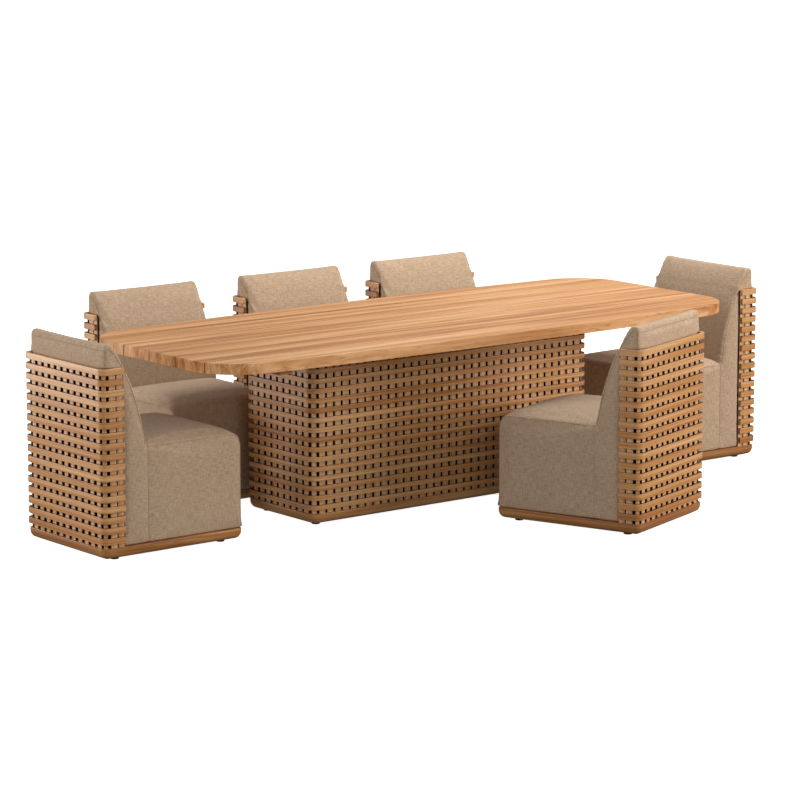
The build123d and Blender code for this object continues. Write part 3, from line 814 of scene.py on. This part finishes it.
def denser(path, step):   # the same path, points no further apart than step
    made = []
    for a, b in zip(path[:-1], path[1:]):
        parts = max(1, math.ceil((Vector(b) - Vector(a)).length / step))
        made += [Vector(a).lerp(Vector(b), k / parts) for k in range(parts)]
    return made + [Vector(path[-1])]


def sewSeams(piece, seams, groove, width):   # a shallow furrow along each seam, and the line of the fold in it
    points = vertexValues(piece.data)
    normals = vertexValues(piece.data, "normal")
    near = np.full(len(points), 9.0)
    for seam in seams:
        near = np.minimum(near, segmentsDistance(points, seam))
    setCoordinates(piece.data, points - normals * (groove * np.exp(-(near / width) ** 2))[:, None])
    surface = BVHTree.FromPolygons([v.co for v in piece.data.vertices], [p.vertices for p in piece.data.polygons])
    vertices, edges = [], []
    for seam in seams:
        start = len(vertices)
        for point in denser(seam, 0.007):
            place, normal = surface.find_nearest(point)[:2]
            vertices.append(place + normal * 0.0002)
        edges += [(k, k + 1) for k in range(start, len(vertices) - 1)]
    return vertices, edges


def weaveMap(mesh):   # thread coordinates in metres, flat on the side that a face looks to
    corners = np.zeros(len(mesh.loops), int)
    mesh.loops.foreach_get("vertex_index", corners)
    points = vertexValues(mesh)[corners]
    normals = np.zeros(len(mesh.polygons) * 3)
    mesh.polygons.foreach_get("normal", normals)
    totals = np.zeros(len(mesh.polygons), int)
    mesh.polygons.foreach_get("loop_total", totals)
    facing = np.repeat(np.abs(normals.reshape(-1, 3)), totals, axis=0)
    side = facing[:, 1] > 0.75
    flat = (facing[:, 2] > 0.75) & ~side
    u = np.where(side, points[:, 0] + 3.0, points[:, 1])
    v = np.where(flat, points[:, 0] + 5.0, points[:, 2])
    layer = mesh.uv_layers.new(name="weave")
    layer.data.foreach_set("uv", np.column_stack((u, v)).astype(np.float32).ravel())


def seamPiece(vertices, edges, label):
    line = meshObject(label, vertices, edges, [])
    runTree(line, seamTree, {"Radius": softSet["weltRadius"], "Finish": seamShadeCloth})
    evaluateInto(line, label)
    weaveMap(line.data)
    return line


seat = padFrom("seat_pad", [(seatProfile, softSet["seatHalf"])])
shape = puff(seat, lambda p: (p[:, 2] < softSet["held"]) | (p[:, 0] < -0.112))
across = np.clip(np.abs(shape[:, 1]) / softSet["seatHalf"], 0, 1)
along = np.clip((shape[:, 0] - softSet["crownRear"]) / softSet["crownLength"], 0, 1)
rise = smoothStep(shape[:, 2], *softSet["crownRise"])     # the seat is fuller in the middle of its top
shape[:, 2] += softSet["crown"] * rise * (1 - across ** 5) * (0.45 + 0.55 * np.sin(along * math.pi))
shape[:, 2] = np.maximum(shape[:, 2], softSet["bottom"])
setCoordinates(seat.data, shape)
sideLine = [(0.3255, 0.060), (0.3255, 0.385), (0.3225, 0.402), (0.315, 0.416), (0.303, 0.426), (0.287, 0.4315),
            (0.268, 0.4325), (-0.1165, 0.4325)]
seatSeams = [[(x, side * (softSet["seatHalf"] + 0.002), z) for x, z in sideLine] for side in (-1, 1)]
seatLines = seamPiece(*sewSeams(seat, seatSeams, 0.0022, softSet["furrowWidth"]), "seat_seams")
weaveMap(seat.data)

back = padFrom("back_pad", [(backProfile, softSet["narrowHalf"]),      # inside the lattice
                            (cutProfile(backProfile, softSet["lattice"]), softSet["backHalf"]),    # in front of it
                            (rollProfile, softSet["rollHalf"])])       # over it
shape = puff(back, lambda p: (p[:, 2] < softSet["held"]) | ((p[:, 0] > -0.126) & (p[:, 2] < 0.42))
             | ((p[:, 2] < 0.74) & (p[:, 0] < -0.235)))
shape[:, 2] = np.maximum(shape[:, 2], softSet["bottom"])
setCoordinates(back.data, shape)
edgeLine = [(-0.1265, 0.440), (-0.1335, 0.485), (-0.144, 0.535), (-0.157, 0.583), (-0.173, 0.633), (-0.191, 0.682),
            (-0.218, 0.740), (-0.232, 0.768), (-0.250, 0.793), (-0.270, 0.816), (-0.284, 0.829), (-0.302, 0.827),
            (-0.307, 0.816), (-0.307, 0.765)]
backSeams = [[(x, side * (softSet["rollHalf"] + 0.003 if z > 0.75 else softSet["backHalf"] + 0.002), z)
              for x, z in edgeLine] for side in (-1, 1)]
rearEnd = softSet["rollHalf"] - 0.006
backSeams.append([(-0.317, side * rearEnd, softSet["rearSeam"]) for side in (-1, 1)])
backLines = seamPiece(*sewSeams(back, backSeams, 0.002, softSet["furrowWidth"]), "back_seams")
weaveMap(back.data)

for pad in (seat, back):
    pad.data.materials.append(linenCloth)
    pad.data.materials.append(shadeBacking)
    for polygon in pad.data.polygons:
        polygon.use_smooth = True
        x, y, z = polygon.center
        # painted shade: the back cushion's faces behind the lattice get the near-black cloth
        if pad is back and z < 0.748 and (x < -0.300 or (x < softSet["lattice"] - 0.006 and abs(y) > 0.245)):
            polygon.material_index = 1

for pad, lines, label, node in ((seat, seatLines, "seat_cushion", "seat_upholstery"),
                                (back, backLines, "back_cushion", "back_upholstery")):
    for piece in placeOnChairs(pad, label, [node]):
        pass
    placeOnChairs(lines, label + "_seams", [])
print("upholstery made")

# the carcass behind the pedestal lattice is painted near black as shade
smallFinishes = (("feet", blackPlastic), ("glides", blackPlastic), ("screws", zincSteel), ("bolts", zincSteel),
                 ("carcass", shadePly), ("_frame", plainPly))
for name, node in frame["nodes"].items():
    if node.hide_render:
        continue
    for place in node.material_slots:
        place.material = next((finish for word, finish in smallFinishes if word in name), teakHidden)
print("small parts finished")

size = floorSet["half"]
floor = meshObject("floor", [(-size, -size, 0), (size, -size, 0), (size, size, 0), (-size, size, 0)], [],
                   [(0, 1, 2, 3)])
floorPaint, floorTree = newMaterial("white_studio_floor")
floorNoise = addNode(floorTree, "ShaderNodeTexNoise", None, {"Scale": 2.0})
floorColour = colourRamp(floorTree, floorNoise.outputs["Fac"], [(0.4, "FDFDFD"), (0.6, "FFFFFF")])
floorShader = addNode(floorTree, "ShaderNodeBsdfPrincipled", None,
                      {"Base Color": floorColour, "Roughness": 0.9, "Specular IOR Level": 0.0,
                       "Emission Color": (1.0, 1.0, 1.0, 1.0), "Emission Strength": floorSet["glow"]})
addNode(floorTree, "ShaderNodeOutputMaterial", None, {"Surface": floorShader.outputs["BSDF"]})
floor.data.materials.append(floorPaint)
floor.visible_diffuse = False
floor.visible_glossy = False

world = bpy.data.worlds.new("studio")
world.use_nodes = True
scene.world = world
skyTree = world.node_tree
skyTree.nodes.clear()
skyWay = addNode(skyTree, "ShaderNodeTexCoord")
skyApart = addNode(skyTree, "ShaderNodeSeparateXYZ", None, {"Vector": skyWay.outputs["Generated"]})
skyLevel = addNode(skyTree, "ShaderNodeMapRange", None,
                   {"Value": skyApart.outputs[2], "From Min": -0.30, "From Max": 0.05, "To Min": skySet["below"],
                    "To Max": skySet["above"]})
skyLight = addNode(skyTree, "ShaderNodeBackground", None, {"Strength": skyLevel.outputs[0]})
skyLight.inputs["Color"].default_value = linearColour("FFFDFA")
skySeen = addNode(skyTree, "ShaderNodeBackground", None, {"Strength": 1.0})
skySeen.inputs["Color"].default_value = linearColour(skySet["seen"])
skyRay = addNode(skyTree, "ShaderNodeLightPath")
skyMix = addNode(skyTree, "ShaderNodeMixShader", None,
                 {0: skyRay.outputs["Is Camera Ray"], 1: skyLight.outputs[0], 2: skySeen.outputs[0]})
addNode(skyTree, "ShaderNodeOutputWorld", None, {"Surface": skyMix.outputs[0]})

for name, setting in lightSet.items():
    lamp = bpy.data.lights.new(name, "AREA")
    lamp.shape = "SQUARE"
    lamp.size = setting["size"]
    lamp.energy = setting["watts"]
    lamp.color = linearColour(setting["colour"])[:3]
    holder = bpy.data.objects.new(name, lamp)
    holder.location = setting["place"]
    holder.rotation_euler = (Vector(setting["aim"]) - Vector(setting["place"])).to_track_quat("-Z", "Y").to_euler()
    scene.collection.objects.link(holder)

yaw, pitch = math.radians(cameraSet["yaw"]), math.radians(cameraSet["pitch"])
forward = Vector((math.cos(yaw) * math.cos(pitch), math.sin(yaw) * math.cos(pitch), -math.sin(pitch)))
lensData = bpy.data.cameras.new("camera")
lensData.lens = cameraSet["lens"]
lensData.sensor_width = cameraSet["sensor"]
lensData.clip_end = 200
camera = bpy.data.objects.new("camera", lensData)
camera.location = cameraSet["place"]
camera.rotation_euler = forward.to_track_quat("-Z", "Y").to_euler()
scene.collection.objects.link(camera)
scene.camera = camera
scene.view_settings.view_transform = "Standard"
print("stage set")
